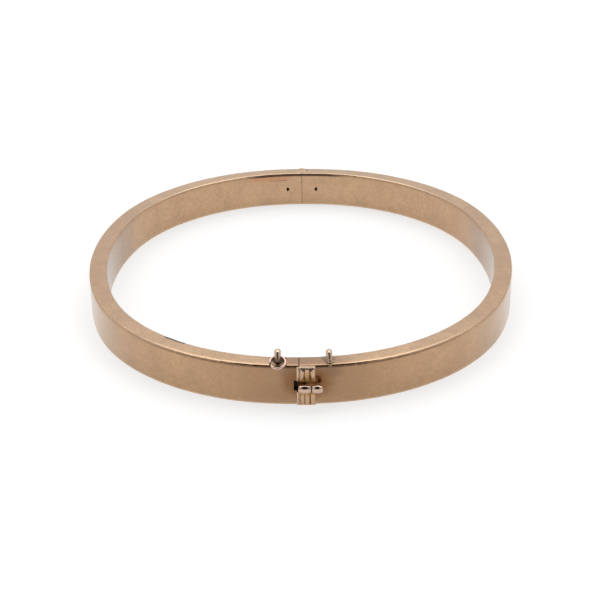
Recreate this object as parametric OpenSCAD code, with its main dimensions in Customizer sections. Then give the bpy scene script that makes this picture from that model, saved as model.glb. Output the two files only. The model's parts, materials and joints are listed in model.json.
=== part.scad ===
// Hinged oval bangle of hollow gold band.
// Two half hoops turn on a concealed pin at the back and close with a folded spring tongue at the
// front, freed by a thumb bar. Small wire ears beside the clasp once held a safety chain.
// Millimetres. +Z is up, the bangle lies on its side, the clasp faces -Y and the hinge is at +Y.

/* [Oval] */
// Outside width of the oval, across the wrist
outer_w = 57.5; // [55:0.5:60]
// Outside length of the oval, from clasp to hinge
outer_l = 62.8; // [60:0.1:65]
// Outside radius of the four rounder shoulders
shoulder_r = 27.2; // [26.9:0.1:27.5]
// Angle over which the flatter stretch at the clasp runs each way from the seam, in degrees
end_a = 4.5; // [4:0.5:6]
// Angle from the clasp at which the flatter side stretch begins, in degrees
side_a = 72.5; // [71:0.5:74]

/* [Band] */
// Height of the band, which is its width on the wrist
band_h = 5.25; // [5:0.05:6]
// Thickness of the band from inner face to outer face
band_t = 2.4; // [2.1:0.05:2.5]
// Thickness of the sheet that the hollow band is made of
wall = 0.35; // [0.25:0.05:0.4]
// Rounding of the four long edges
edge_r = 0.22; // [0.15:0.01:0.3]
// Gap between the two halves where they meet
seam_gap = 0.06; // [0.04:0.01:0.1]
// Diameter of the vent hole inside each half, near the hinge
vent_d = 0.48; // [0.4:0.02:0.6]
// Distance of each vent hole from the hinge seam
vent_x = 2.25; // [2.1:0.05:3]

/* [Hinge] */
// Diameter of the hinge barrel
barrel_d = 1.8; // [1.6:0.05:1.85]
// Diameter of the hinge pin
pin_d = 0.7; // [0.6:0.05:0.8]
// How far the right half swings open, in degrees
open_angle = 50; // [40:1:52]
// Solid metal behind the barrel in each half
hinge_block = 1.35; // [1.2:0.05:1.6]

/* [Clasp] */
// Width of the spring strip, along the height of the band
leaf_w = 3.0; // [2.6:0.1:3.2]
// Thickness of the spring strip
leaf_t = 0.3; // [0.25:0.01:0.3]
// Gap between the two leaves of the folded strip
leaf_gap = 0.35; // [0.34:0.01:0.4]
// Length of the folded strip inside the left half
tongue_len = 5.5; // [4.5:0.25:5.75]
// Diameter of the thumb bar
thumb_d = 1.07; // [0.9:0.01:1.1]
// Distance of the thumb bar's axis outside the band
thumb_stand = 1.0; // [0.95:0.05:1.2]
// Length of the left barrel of the thumb bar
thumb_left = 1.55; // [1.3:0.05:1.7]
// Length of the right barrel of the thumb bar
thumb_right = 1.34; // [1.1:0.02:1.5]
// Height of the notch that the thumb bar's post slides out of
notch_h = 1.36; // [1.2:0.02:1.5]
// Depth of the notch in the left half, from the seam
notch_x = 0.64; // [0.5:0.02:0.8]

/* [Reeded strips] */
// Width of the three ribs
rib_w = 0.56; // [0.5:0.02:0.6]
// How far the ribs stand out of the band
rib_out = 0.44; // [0.35:0.01:0.46]
// Overlap of the strip's left lip over the left half
lip_over = 0.29; // [0.2:0.01:0.4]

/* [Ears and ring] */
// Wire diameter of the two ears
ear_wire = 0.62; // [0.6:0.01:0.64]
// Diameter of the opening inside each ear
ear_hole = 0.6; // [0.58:0.01:0.64]
// Distance of the left ear from the clasp seam
ear_left_x = 2.5; // [2:0.1:4]
// Distance of the right ear from the clasp seam
ear_right_x = 3.5; // [3:0.1:5]
// Outside diameter of the jump ring
ring_d = 2.12; // [1.9:0.01:2.3]
// Wire diameter of the jump ring
ring_wire = 0.28; // [0.22:0.02:0.3]
// How steeply the jump ring hangs forward over the edge of the band, in degrees
ring_dip = 20; // [18:1:24]

/* [Hidden] */
$fn = 64;

gold = "#a9835f";
gold_pale = "#c09a78";

// The whole bangle is moved by this, so that the origin is at the middle of its outline
centre_y = (thumb_stand + thumb_d / 2) / 2;

// Clearances: round the pin and the rooted leaf, beside what swings, and beside what slides
fit_gap = 0.03;
swing_gap = 0.05;
slide_gap = 0.1;

// Oval of tangent arcs, worked out in the quarter at front right. Angles run from the clasp, at 0,
// round by the right side, at 90, to the hinge, at 180. The radii of the flatter stretches follow
// from the two half widths.
function toward(a) = [sin(a), -cos(a)];
half_w = outer_w / 2;
half_l = outer_l / 2;
solve = sin(end_a) * cos(side_a) - (1 - sin(side_a)) * (1 - cos(end_a));
wide = half_w - shoulder_r;
long = half_l - shoulder_r;
end_r = shoulder_r + (wide * cos(side_a) - long * (1 - sin(side_a))) / solve;
side_r = shoulder_r + (long * sin(end_a) - wide * (1 - cos(end_a))) / solve;
end_c = [0, end_r - half_l];
side_c = [half_w - side_r, 0];
shoulder_c = end_c + (end_r - shoulder_r) * toward(end_a);

// Angle of a place at a distance x from the seam, to a round hundredth so that arcs still meet
function end_angle(x) = round(asin(x / end_r) * 100) / 100;

// Where the face of the end stretch lies at a distance x from the seam, for a depth below it
function front_y(x, depth = 0) = end_c.y - sqrt((end_r - depth) ^ 2 - x ^ 2);

// Hinge
barrel_r = barrel_d / 2;
hinge_y = half_l - barrel_r - 0.05;
knuckle_h = band_h / 3;
relief_a = open_angle / 2 + 1.5;
pin_cover = 0.4;

// Clasp: both leaves follow circles about the hinge, so that they slide out along themselves
mid_z = band_h / 2;
stack = 2 * leaf_t + leaf_gap;
tongue_in = 1.15;
tongue_r = hinge_y + half_l - tongue_in;
fold_a = asin(tongue_len / tongue_r);
left_end_wall = 0.5;
right_end_wall = 1.3;
pocket_x = 0.75;
root_x = 1.95;
window_w = leaf_w + 2 * slide_gap;
window_t = stack + 2 * slide_gap;
post_x = [-0.12, 0.55];
post_h = 0.9;
thumb_x = -0.13;
thumb_y = -half_l - thumb_stand;
thumb_round = 0.24;
thumb_up = 0.1;

// Reeded strips
strip_plate = 0.18;
strip_root = wall / 2;
strip_margin = 0.07;
strip_groove = 0.04;
rib_pitch = rib_w + strip_groove;
rib_first = 0.07;
strip_right = rib_first + 3 * rib_pitch + strip_margin;
strip_end = 0.06;
strip_gap = notch_h + 0.12;
lip_r = 0.12;

// Ears and ring
ear_r = ear_hole / 2 + ear_wire / 2;
ear_left_rise = 0.65;
ear_right_rise = 0.36;
ear_right_in = 0.25;
ring_z = band_h + 0.6;
ring_r = (ring_d - ring_wire) / 2;

// Square with all four corners rounded, its right edge on the Y axis
module rounded_profile(w, h, r) {
    difference() {
        translate([-w, 0]) square([w, h]);
        for (x = [-w, 0], z = [0, h])
            translate([x, z]) corner_waste(r, x < 0 ? 1 : -1, z > 0 ? -1 : 1);
    }
}

// What a rounding of radius r takes off a corner; sx and sz point into the profile
module corner_waste(r, sx, sz) {
    difference() {
        translate([sx * r / 2, sz * r / 2]) square(r, center = true);
        translate([sx * r, sz * r]) circle(r);
    }
}

// Moves its children by a round step and then by the small rest, so that neighbouring arcs meet
// to the last digit
module place(x, y = 0) {
    round_x = round(x * 100) / 100;
    round_y = round(y * 100) / 100;
    translate([round_x, round_y]) translate([x - round_x, y - round_y]) children();
}

// A profile swept round one arc of the oval; x = 0 in the profile is the outer face
module arc(centre, radius, from, to) {
    place(centre.x, centre.y) rotate_extrude(angle = to - from, start = from - 90)
        place(radius) children();
}

// A profile swept round the right half of the oval, between two angles of its end stretches
module half_sweep(from = 0, to = 180) {
    arc(end_c, end_r, from, end_a) children();
    arc(shoulder_c, shoulder_r, end_a, side_a) children();
    arc(side_c, side_r, side_a, 180 - side_a) children();
    arc([shoulder_c.x, -shoulder_c.y], shoulder_r, 180 - side_a, 180 - end_a) children();
    arc(-end_c, end_r, 180 - end_a, to) children();
}

// Hollow right half, before its fittings; end_wall is the thickness of its front end
module half_shell(end_wall) {
    difference() {
        half_sweep() rounded_profile(band_t, band_h, edge_r);
        half_sweep(end_angle(end_wall), 180 - end_angle(hinge_block))
            translate([-band_t + wall, wall]) square([band_t - 2 * wall, band_h - 2 * wall]);
        seam_cut();
        vent();
    }
}

// Half of the gap between the halves, with room outside the hinge for the corner that swings in
module seam_cut() {
    far = half_l + 1;
    spread = (far - hinge_y) * tan(relief_a);
    translate([0, 0, -1]) linear_extrude(band_h + 2)
        polygon([
            [-1, -far], [seam_gap / 2, -far], [seam_gap / 2, hinge_y],
            [spread + seam_gap / 2, far], [-1, far]
        ]);
}

// Vent hole through the inner face
module vent() {
    translate([vent_x, half_l - band_t + wall / 2, mid_z]) rotate([90, 0, 0])
        cylinder(d = vent_d, h = 2 * wall, center = true);
}

// Hinge knuckle between two heights, its rim eased where it shows
module knuckle(from, to) {
    ease = edge_r / 2;
    translate([0, hinge_y, 0]) rotate_extrude() polygon([
        [0, from], [barrel_r - ease, from], [barrel_r, from + ease],
        [barrel_r, to - ease], [barrel_r - ease, to], [0, to]
    ]);
}

// Room for the other half's knuckle
module knuckle_room(from, to) {
    translate([0, hinge_y, from]) cylinder(r = barrel_r + swing_gap, h = to - from);
}

// Bore for the hinge pin, closed at both ends
module pin_bore() {
    translate([0, hinge_y, pin_cover]) cylinder(d = pin_d + 2 * fit_gap, h = band_h - 2 * pin_cover);
}

// Wire ear standing on the top face, its hole along the band, its middle at a height above the face
module ear(x, inward, rise) {
    translate([x, front_y(x, band_t / 2 + inward), band_h + rise]) difference() {
        rotate([0, 90, 0]) rotate_extrude() translate([ear_r, 0]) circle(d = ear_wire);
        translate([-1, -2, -rise - wall / 2 - 2]) cube([2, 4, 2]);
    }
}

// Window in an end face that the folded strip passes through, between two distances from the seam
module tongue_window(from, to) {
    translate([from, -half_l + tongue_in - window_t / 2, mid_z - window_w / 2])
        cube([to - from, window_t, window_w]);
}

// Notch in the outer face for the thumb bar's post
module post_notch(from, to) {
    translate([from, -half_l - 1, mid_z - notch_h / 2]) cube([to - from, 1 + tongue_in, notch_h]);
}

// Stretch of spring leaf about the hinge axis, between two radii and two angles from the clasp
module leaf(inner, from, to) {
    translate([0, hinge_y, mid_z - leaf_w / 2]) rotate([0, 0, from - 90])
        rotate_extrude(angle = to - from, $fn = 360) translate([inner, 0]) square([leaf_t, leaf_w]);
}

// Outline of the reeded strip seen from above: plate, three round ribs and the lip at its left.
// The plate is rooted in the right half's wall and clears the left half's face.
module strip_outline() {
    left = lip_r - lip_over;
    difference() {
        union() {
            translate([left, -half_l - strip_plate])
                square([strip_right - left, strip_plate + strip_root]);
            for (i = [0:2])
                translate([rib_first + rib_w / 2 + i * rib_pitch, -half_l - rib_out + rib_w / 2])
                    circle(d = rib_w);
            translate([left, -half_l - strip_plate]) circle(lip_r);
        }
        translate([-notch_x, -half_l - swing_gap])
            square([notch_x + seam_gap / 2, swing_gap + strip_root]);
    }
}

// Reeded strip between two heights
module strip(from, to) {
    translate([0, 0, from]) linear_extrude(to - from) strip_outline();
}

// One barrel of the thumb bar, lying along X
module thumb_barrel(x, length) {
    translate([x, thumb_y, mid_z + thumb_up]) rotate([0, 90, 0]) rotate_extrude() difference() {
        square([thumb_d / 2, length]);
        translate([thumb_d / 2, 0]) corner_waste(thumb_round, -1, 1);
        translate([thumb_d / 2, length]) corner_waste(thumb_round, -1, -1);
    }
}

// Left half hoop, with the outer two knuckles, the box that takes the tongue, and an ear
module left_half() {
    color(gold) translate([0, centre_y, 0]) difference() {
        union() {
            difference() {
                mirror([1, 0, 0]) half_shell(left_end_wall);
                knuckle_room(knuckle_h - swing_gap, 2 * knuckle_h + swing_gap);
            }
            knuckle(0, knuckle_h - swing_gap);
            knuckle(2 * knuckle_h + swing_gap, band_h);
            ear(-ear_left_x, 0, ear_left_rise);
        }
        pin_bore();
        tongue_window(-left_end_wall - slide_gap, seam_gap);
        post_notch(-notch_x, seam_gap);
    }
}

// Right half hoop, with the middle knuckle, the seat of the tongue, the reeded strips and an ear
module right_half() {
    color(gold) translate([0, centre_y, 0]) difference() {
        union() {
            difference() {
                half_shell(right_end_wall);
                knuckle_room(-1, knuckle_h);
                knuckle_room(2 * knuckle_h, band_h + 1);
            }
            knuckle(knuckle_h, 2 * knuckle_h);
            ear(ear_right_x, ear_right_in, ear_right_rise);
            strip(strip_end, mid_z - strip_gap / 2);
            strip(mid_z + strip_gap / 2, band_h - strip_end);
        }
        pin_bore();
        tongue_window(-seam_gap, pocket_x);
        post_notch(-seam_gap, pocket_x);
        translate([0, -half_l + tongue_in + leaf_gap / 2 - fit_gap, mid_z - leaf_w / 2 - fit_gap])
            cube([right_end_wall + slide_gap, leaf_t + 2 * fit_gap, leaf_w + 2 * fit_gap]);
    }
}

// Pin that the halves turn on, hidden inside the knuckles
module hinge_pin() {
    color(gold_pale) translate([0, centre_y + hinge_y, pin_cover + fit_gap])
        cylinder(d = pin_d, h = band_h - 2 * (pin_cover + fit_gap));
}

// Fixed leaf of the folded spring strip, rooted in the right half, with the fold at its tip
module tongue_spring() {
    color(gold_pale) translate([0, centre_y, 0]) {
        leaf(tongue_r - stack / 2, -fold_a, asin(root_x / tongue_r));
        translate([0, hinge_y, mid_z - leaf_w / 2]) rotate([0, 0, -fold_a])
            translate([0, -tongue_r, 0]) rotate([0, 0, 90]) rotate_extrude(angle = 180)
                translate([leaf_gap / 2, 0]) square([leaf_t, leaf_w]);
    }
}

// Moving leaf of the spring strip with the post and the two-barrelled bar that the thumb presses
module thumb_piece() {
    leaf_start = asin(fit_gap / tongue_r);
    color(gold_pale) translate([0, centre_y, 0]) {
        leaf(tongue_r + stack / 2 - leaf_t, leaf_start - fold_a, asin(post_x[1] / tongue_r));
        translate([post_x[0], thumb_y, mid_z - post_h / 2])
            cube([post_x[1] - post_x[0], thumb_stand + tongue_in - stack / 2 + leaf_t / 2, post_h]);
        thumb_barrel(thumb_x, thumb_left);
        thumb_barrel(thumb_x + thumb_left, thumb_right);
    }
}

// Jump ring through the left ear, lying forward over the edge of the band
module jump_ring() {
    ear_y = front_y(ear_left_x, band_t / 2);
    color(gold_pale) translate([-ear_left_x, centre_y + ear_y, ring_z]) rotate([ring_dip, 0, 0])
        translate([0, -ring_r, 0]) rotate_extrude() translate([ring_r, 0]) circle(d = ring_wire);
}

left_half();
right_half();
hinge_pin();
tongue_spring();
thumb_piece();
jump_ring();
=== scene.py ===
import json
import math
from collections import namedtuple

import bmesh
import bpy
from mathutils import Matrix, Vector, noise


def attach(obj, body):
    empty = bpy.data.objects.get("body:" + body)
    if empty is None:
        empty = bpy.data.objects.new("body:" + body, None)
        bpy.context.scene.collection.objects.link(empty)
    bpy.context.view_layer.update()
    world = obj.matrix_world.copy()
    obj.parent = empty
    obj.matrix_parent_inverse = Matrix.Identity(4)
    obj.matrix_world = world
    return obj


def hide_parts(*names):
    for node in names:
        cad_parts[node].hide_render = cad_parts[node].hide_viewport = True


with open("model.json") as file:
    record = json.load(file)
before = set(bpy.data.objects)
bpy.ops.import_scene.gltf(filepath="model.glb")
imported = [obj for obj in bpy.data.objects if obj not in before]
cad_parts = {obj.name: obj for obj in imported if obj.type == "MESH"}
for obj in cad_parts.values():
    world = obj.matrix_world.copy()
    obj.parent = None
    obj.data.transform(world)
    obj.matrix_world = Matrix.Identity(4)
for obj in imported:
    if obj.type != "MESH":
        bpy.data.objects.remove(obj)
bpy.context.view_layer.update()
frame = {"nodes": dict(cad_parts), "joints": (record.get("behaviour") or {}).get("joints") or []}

# Millimetres are used throughout, in the oval's own frame: its middle at the origin, the clasp at -Y,
# the hinge at +Y and the bangle lying on its side at z = 0. Finished meshes are moved into the CAD
# frame and scaled to metres.
MM = 0.001

# Oval and band, with the sizes of the part's source; angles are in degrees
OUTER_W = 57.5
OUTER_L = 62.8
SHOULDER_R = 27.2
END_ANGLE = 4.5
SIDE_ANGLE = 72.5
BAND_T = 2.4
WALL = 0.35
EDGE_R = 0.22
SEAM_GAP = 0.06
LEFT_END_WALL = 0.5
RIGHT_END_WALL = 1.3
HINGE_BLOCK = 1.35

# Hinge and vent holes
BARREL_D = 1.8
OPEN_ANGLE = 50
PIN_BORE_D = 0.76
PIN_COVER = 0.4
SWING_GAP = 0.05
VENT_D = 0.48
VENT_X = 2.25
VENT_EASE = 0.08

# Tongue, thumb bar and the notch that its post slides out of
LEAF_W = 3.0
LEAF_T = 0.3
LEAF_GAP = 0.35
TONGUE_LEN = 5.5
TONGUE_IN = 1.15
ROOT_X = 1.95
POCKET_X = 0.75
SLIDE_GAP = 0.1
FIT_GAP = 0.03
NOTCH_H = 1.36
NOTCH_X = 0.64
NOTCH_EASE = 0.05
POST_X = (-0.12, 0.55)
POST_H = 0.9
THUMB_D = 1.07
THUMB_STAND = 1.0
THUMB_RISE = 0.1
THUMB_X = -0.11
THUMB_LENGTHS = (1.56, 1.36)
BARREL_EASE = 0.2
BARREL_BULGE = 0.078
COLLAR_H = 1.28
COLLAR_OUT = 0.05
COLLAR_IN = 0.7

# Reeded strips beside the clasp
RIB_W = (0.56, 0.56, 0.65)
RIB_WIDEN = 1.2
RIB_OUT = 0.44
RIB_FIRST = 0.07
RIB_PITCH = 0.6
STRIP_PLATE = 0.18
STRIP_MARGIN = 0.07
STRIP_END = 0.06
STRIP_GAP = 1.48
LIP_OVER = 0.29
LIP_R = 0.12

# Wire ears and the jump ring, with heights above the top face
EAR_WIRE = 0.62
EAR_HOLE = 0.6
EAR_X = {"left": -2.5, "right": 3.6}
EAR_RISE = {"left": 0.65, "right": 0.36}
EAR_IN = {"left": 0, "right": 0.25}
EAR_SPREAD = {"left": 1.36, "right": 1.3}
EAR_LEAN = {"left": 0, "right": -6}
EAR_SWELL = 0.3
RING_D = 2.15
RING_WIRE = 0.33
RING_RISE = 0.6
RING_DIP = 20

# Worked out from the sizes above and from the frame
half_w = OUTER_W / 2
half_l = OUTER_L / 2
hinge_place = Vector(frame["joints"][0]["pos_m"]) / MM
band_h = 2 * hinge_place.z
mid_z = hinge_place.z
hinge_y = half_l - BARREL_D / 2 - SWING_GAP
centre_y = hinge_place.y - hinge_y
tongue_r = hinge_y + half_l - TONGUE_IN
leaf_stack = 2 * LEAF_T + LEAF_GAP
knuckle_h = band_h / 3
ear_r = (EAR_HOLE + EAR_WIRE) / 2


# Oval of tangent arcs, in headings from the clasp at 0 round by the side at 90 to the hinge at 180


def toward(heading):
    """Direction from the inside of the oval to its right side at a heading in degrees."""
    turn = math.radians(heading)
    return Vector((math.sin(turn), -math.cos(turn)))


def oval_arcs():
    """The right side's arcs in order: first and last heading, centre, radius and length so far."""
    end, side = math.radians(END_ANGLE), math.radians(SIDE_ANGLE)
    wide, long = half_w - SHOULDER_R, half_l - SHOULDER_R
    solve = math.sin(end) * math.cos(side) - (1 - math.sin(side)) * (1 - math.cos(end))
    end_r = SHOULDER_R + (wide * math.cos(side) - long * (1 - math.sin(side))) / solve
    side_r = SHOULDER_R + (long * math.sin(end) - wide * (1 - math.cos(end))) / solve
    end_c = Vector((0, end_r - half_l))
    side_c = Vector((half_w - side_r, 0))
    shoulder_c = end_c + (end_r - SHOULDER_R) * toward(END_ANGLE)
    flipped = Vector((shoulder_c.x, -shoulder_c.y))
    arcs = [
        (0, END_ANGLE, end_c, end_r),
        (END_ANGLE, SIDE_ANGLE, shoulder_c, SHOULDER_R),
        (SIDE_ANGLE, 180 - SIDE_ANGLE, side_c, side_r),
        (180 - SIDE_ANGLE, 180 - END_ANGLE, flipped, SHOULDER_R),
        (180 - END_ANGLE, 180, -end_c, end_r),
    ]
    length = 0
    measured = []
    for first, last, centre, radius in arcs:
        measured.append((first, last, centre, radius, length))
        length += math.radians(last - first) * radius
    return measured, length


ARCS, HALF_LENGTH = oval_arcs()


def on_oval(along, depth=0):
    """Point on the right side, at a distance along the outer face from the clasp and a depth in."""
    along = min(max(along, 0), HALF_LENGTH)
    for first, last, centre, radius, start in ARCS:
        if along <= start + math.radians(last - first) * radius + 1e-9:
            break
    heading = first + math.degrees((along - start) / radius)
    return centre + (radius - depth) * toward(heading)


def off_oval(x, y):
    """The other way: distance along the outer face and depth in, for a point of the right side."""
    best = None
    for first, last, centre, radius, start in ARCS:
        arm = Vector((x, y)) - centre
        heading = math.degrees(math.atan2(arm.x, -arm.y))
        held = min(max(heading, first), last)
        miss = abs(heading - held)
        if best is None or miss < best[0]:
            best = (miss, start + math.radians(held - first) * radius, radius - arm.length)
    return best[1], best[2]


def front_y(x, depth=0):
    """Where the face beside the clasp lies at a distance x from the seam, for a depth below it."""
    centre, radius = ARCS[0][2], ARCS[0][3]
    return centre.y - math.sqrt((radius - depth) ** 2 - x**2)


# Meshes


def mesh_of(rings, name, closed=False):
    """Solid through rings of points: capped at both ends, or joined round if closed."""
    made = bmesh.new()
    rows = [[made.verts.new(point) for point in ring] for ring in rings]
    count = len(rows[0])
    pairs = list(zip(rows, rows[1:]))
    if closed:
        pairs.append((rows[-1], rows[0]))
    for row, following in pairs:
        for i in range(count):
            j = (i + 1) % count
            made.faces.new((row[i], row[j], following[j], following[i]))
    if not closed:
        made.faces.new(reversed(rows[0]))
        made.faces.new(rows[-1])
    bmesh.ops.recalc_face_normals(made, faces=made.faces)
    mesh = bpy.data.meshes.new(name)
    made.to_mesh(mesh)
    made.free()
    return mesh


def lathe(outline, name, turns=48):
    """Solid of revolution about Z, through (radius, height) points from one end to the other."""
    rings = []
    for radius, height in outline:
        circle = [2 * math.pi * i / turns for i in range(turns)]
        rings.append([Vector((radius * math.cos(a), radius * math.sin(a), height)) for a in circle])
    return mesh_of(rings, name)


BULGE_STEPS = 12


def eased_rod(radius, low, high, ease, name, steps=5, bulge=0, turns=48):
    """Rod about Z with rounded rims; bulge is how much slimmer its two ends are."""
    rim = []
    for i in range(steps + 1):
        round_by = math.pi / 2 * i / steps
        inward = bulge + ease * (1 - math.sin(round_by))
        rim.append((radius - inward, low + ease * (1 - math.cos(round_by))))
    swelling = []
    if bulge:
        for i in range(1, BULGE_STEPS):
            share = i / BULGE_STEPS
            height = low + ease + share * (high - low - 2 * ease)
            swelling.append((radius - bulge * (2 * share - 1) ** 2, height))
    far_rim = [(r, low + high - h) for r, h in reversed(rim)]
    return lathe(rim + swelling + far_rim, name, turns)


def block(low, high, name, flare=0):
    """Box between two corners; flare widens it towards -Y, for a cut with an eased mouth."""
    stations = [(low[1], flare), (high[1], 0)]
    if flare:
        stations[1:1] = [(low[1] + flare, flare), (low[1] + 2 * flare, 0)]
    rings = []
    for y, grow in stations:
        x0, x1 = low[0] - grow, high[0] + grow
        z0, z1 = low[2] - grow, high[2] + grow
        rings.append([Vector(p) for p in ((x0, y, z0), (x1, y, z0), (x1, y, z1), (x0, y, z1))])
    return mesh_of(rings, name)


def prism(corners, low, high, name):
    """Upright prism over a plan."""
    return mesh_of([[Vector((x, y, z)) for x, y in corners] for z in (low, high)], name)


def moved(mesh, *matrices):
    """The mesh moved by the product of the matrices."""
    whole = Matrix.Identity(4)
    for matrix in matrices:
        whole = whole @ matrix
    mesh.transform(whole)
    if whole.determinant() < 0:
        mesh.flip_normals()
    return mesh


def turn(degrees, axis):
    """Rotation matrix about a main axis."""
    return Matrix.Rotation(math.radians(degrees), 4, axis)


def shift(x=0, y=0, z=0):
    """Translation matrix."""
    return Matrix.Translation((x, y, z))


MIRROR = Matrix.Scale(-1, 4, (1, 0, 0))


def carved(mesh, steps):
    """The solid after all the steps, each an operation and the solid that it adds or takes."""
    base = bpy.data.objects.new("carving", mesh)
    bpy.context.scene.collection.objects.link(base)
    tools = []
    for operation, tool in steps:
        helper = bpy.data.objects.new("carving tool", tool)
        bpy.context.scene.collection.objects.link(helper)
        tools.append(helper)
        modifier = base.modifiers.new(operation, "BOOLEAN")
        modifier.operation = operation
        modifier.solver = "MANIFOLD"
        modifier.object = helper
    depsgraph = bpy.context.evaluated_depsgraph_get()
    made = bpy.data.meshes.new_from_object(base.evaluated_get(depsgraph))
    made.name = mesh.name
    for helper in [base, *tools]:
        bpy.data.objects.remove(helper)
    return made


def wave(point, length):
    """Smooth noise from 0 to 1, with about the given length from one bump to the next."""
    return 0.5 + 0.5 * noise.noise(Vector(point) / length)


# The band


# Radii of the worn edges, and the share by which they are smaller half way round
CORNER_R = {"outer low": 0.14, "outer top": 0.37, "inner top": 0.3, "inner low": 0.14}
SIDE_SHARPER = 0.62

# Unevenness of the faces; how far the walls fall in at the top, and from how deep below it
WAVE_DEPTH = 0.02
SHOULDER_FALL = 0.02
SHOULDER_FROM = 1.0

# Seams, and how finely the band is divided
SEAM_VISIBLE = 0.012
SEAM_EASE = 0.05
SEAM_EASE_STEPS = 4
STATION_STEP = 0.2
CORNER_STEPS = 6
SIDE_STEPS = (10, 4, 8, 4)


def band_section(along, inset, side):
    """Ring of points of the band's cross-section, at a distance along it, drawn in by an inset."""
    corners = []
    sharper = 1 - SIDE_SHARPER * math.sin(math.pi * along / HALF_LENGTH) ** 2
    for i, radius in enumerate(CORNER_R.values()):
        wander = 0.25 * wave((along, side * 7, i), 2.6) + 0.35 * wave((along, side * 7, i + 9), 0.6)
        radius = max(radius * sharper * (0.7 + wander) - inset, 0.02)
        u = inset + radius if i < 2 else BAND_T - inset - radius
        z = band_h - inset - radius if i in (1, 2) else inset + radius
        corners.append((Vector((u, z)), radius, 180 - 90 * i))
    places = []
    for i, (middle, radius, start) in enumerate(corners):
        for step in range(CORNER_STEPS + 1):
            angle = math.radians(start + 90 - 90 * step / CORNER_STEPS)
            places.append(middle + radius * Vector((math.cos(angle), math.sin(angle))))
        last = places[-1]
        following, radius = corners[(i + 1) % 4][:2]
        angle = math.radians(start)
        first = following + radius * Vector((math.cos(angle), math.sin(angle)))
        for step in range(1, SIDE_STEPS[i]):
            places.append(last.lerp(first, step / SIDE_STEPS[i]))
    ring = []
    for u, z in places:
        fall = SHOULDER_FALL * max(0, (z - band_h) / SHOULDER_FROM + 1) ** 2
        u += fall * (1 - 2 * u / BAND_T)
        spot = (along, 3 * side, z)
        dip = WAVE_DEPTH * wave(spot, 5) + WAVE_DEPTH / 3 * wave(spot, 1.3)
        u += dip * (1 - u / BAND_T)
        z -= dip * z / band_h
        point = on_oval(along, u)
        ring.append(Vector((point.x, point.y, z)))
    return ring


def band_stations():
    """Distances along the half and the inset at each, with rounded rims at both ends."""
    start = SEAM_VISIBLE / 2
    rim = []
    for i in range(SEAM_EASE_STEPS + 1):
        angle = math.pi / 2 * i / SEAM_EASE_STEPS
        rim.append((start + SEAM_EASE * (1 - math.cos(angle)), SEAM_EASE * (1 - math.sin(angle))))
    span = HALF_LENGTH - 2 * rim[-1][0]
    count = round(span / STATION_STEP)
    middle = [(rim[-1][0] + span * i / count, 0) for i in range(1, count)]
    return rim + middle + [(HALF_LENGTH - along, inset) for along, inset in reversed(rim)]


HOLLOW_STEPS = 120


def hollow(end_wall, name):
    """The hollow inside the band, between the front end wall and the hinge block."""
    low, high = WALL, band_h - WALL
    corners = ((WALL, low), (WALL, high), (BAND_T - WALL, high), (BAND_T - WALL, low))
    rings = []
    stop = HALF_LENGTH - HINGE_BLOCK
    for i in range(HOLLOW_STEPS + 1):
        along = end_wall + (stop - end_wall) * i / HOLLOW_STEPS
        rings.append([Vector((*on_oval(along, u), z)) for u, z in corners])
    return mesh_of(rings, name)


RELIEF_MORE = 1.5


def relief():
    """Room outside the hinge for the corner of the half that swings in."""
    far = half_l + 1
    spread = (far - hinge_y) * math.tan(math.radians(OPEN_ANGLE / 2 + RELIEF_MORE))
    gap = SEAM_GAP / 2
    plan = [(-1, hinge_y), (gap, hinge_y), (spread + gap, far), (-1, far)]
    return prism(plan, -1, band_h + 1, "relief")


def vent():
    """Vent hole through the inner face, with an eased mouth."""
    radius, length = VENT_D / 2, 2 * WALL
    outline = [(radius, 0), (radius, length), (radius + VENT_EASE, length + VENT_EASE)]
    face = half_l - BAND_T
    return moved(lathe(outline, "vent", 32), shift(VENT_X, face + length, mid_z), turn(90, "X"))


def knuckle(low, high):
    """Hinge knuckle with eased rims."""
    rod = eased_rod(BARREL_D / 2, low, high, EDGE_R / 2, "knuckle", 4)
    return moved(rod, shift(0, hinge_y, 0))


def knuckle_room(low, high):
    """Room for the other half's knuckle."""
    radius = BARREL_D / 2 + SWING_GAP
    return moved(lathe([(radius, low), (radius, high)], "knuckle room"), shift(0, hinge_y, 0))


def pin_bore():
    """Bore for the hinge pin, closed at both ends."""
    radius = PIN_BORE_D / 2
    bore = lathe([(radius, PIN_COVER), (radius, band_h - PIN_COVER)], "pin bore")
    return moved(bore, shift(0, hinge_y, 0))


def tongue_window(from_x, to_x):
    """Opening in an end face for the folded strip."""
    half_t = leaf_stack / 2 + SLIDE_GAP
    half_h = LEAF_W / 2 + SLIDE_GAP
    y = -half_l + TONGUE_IN
    return block((from_x, y - half_t, mid_z - half_h), (to_x, y + half_t, mid_z + half_h), "window")


def post_notch(from_x, to_x):
    """Notch in the outer face for the thumb bar's post, its rim eased."""
    low = (from_x, -half_l - 2 * NOTCH_EASE, mid_z - NOTCH_H / 2)
    high = (to_x, -half_l + TONGUE_IN, mid_z + NOTCH_H / 2)
    return block(low, high, "notch", NOTCH_EASE)


def lay_in_frame(mesh):
    """Moves a finished mesh into the CAD frame, in metres."""
    return moved(mesh, Matrix.Scale(MM, 4), shift(0, centre_y, 0))


def note_places(mesh, side):
    """Stores where each point lies on the band: along it, depth from the outer face, and height."""
    places = mesh.attributes.new("place", "FLOAT_VECTOR", "POINT")
    for vertex in mesh.vertices:
        along, depth = off_oval(abs(vertex.co.x), vertex.co.y)
        places.data[vertex.index].vector = (side * along, depth, vertex.co.z)
    return mesh


SHARP_ANGLE = 32


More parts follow.
